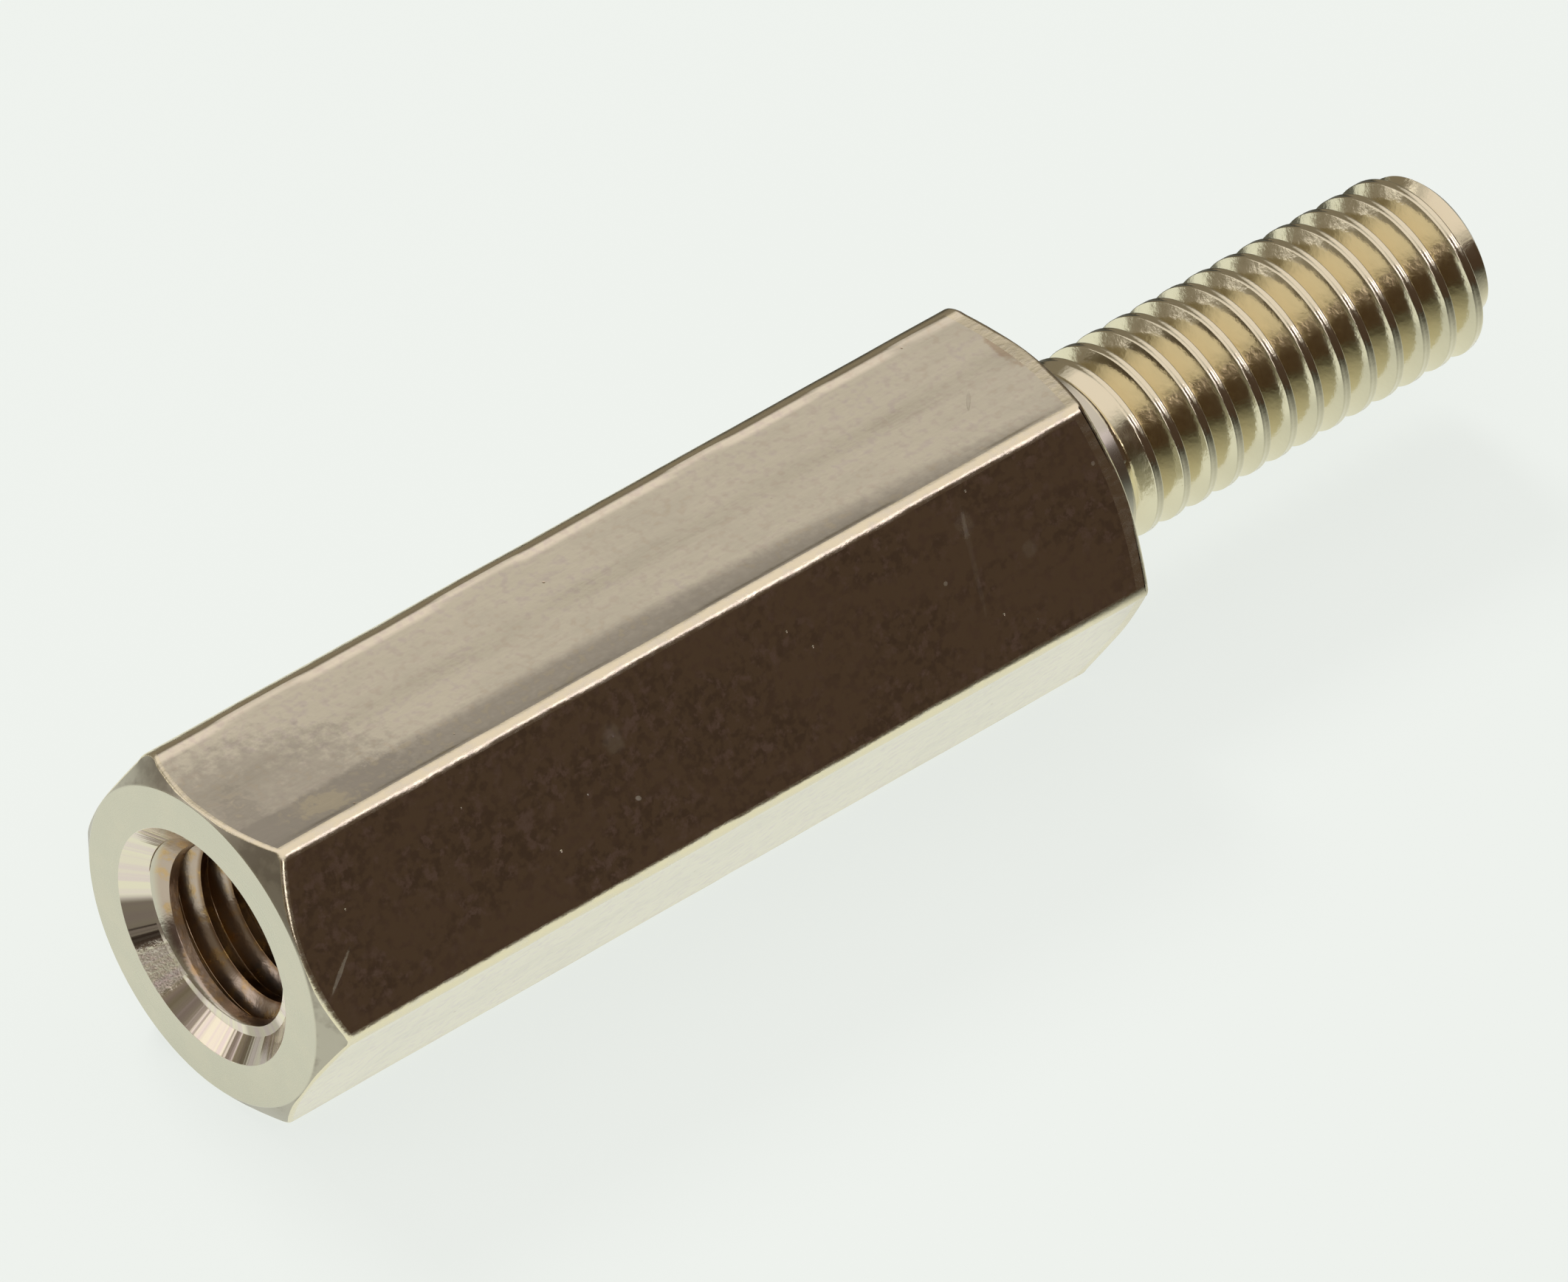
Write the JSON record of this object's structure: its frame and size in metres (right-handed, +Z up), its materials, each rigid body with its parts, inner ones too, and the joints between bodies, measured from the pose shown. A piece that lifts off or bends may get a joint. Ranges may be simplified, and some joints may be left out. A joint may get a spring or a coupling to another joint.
{
  "type": "hex standoff",
  "caption": "Nickel-plated brass hex standoff with a tapped blind hole at one end and a threaded stud at the other, for spacing one panel or board from another.",
  "frame": {"origin": "on the resting surface, under the middle of the whole length", "axes": "+X along the axis from the tapped mouth to the tip of the stud, +Z up out of the upper flat, +Y to the left of +X"},
  "size_m": [0.0228, 0.0058, 0.005],
  "materials": {
    "nickel_plate": "bright nickel plate on turned brass"
  },
  "bodies": {
    "root": {"hex_standoff": "nickel_plate"}
  },
  "joints": []
}
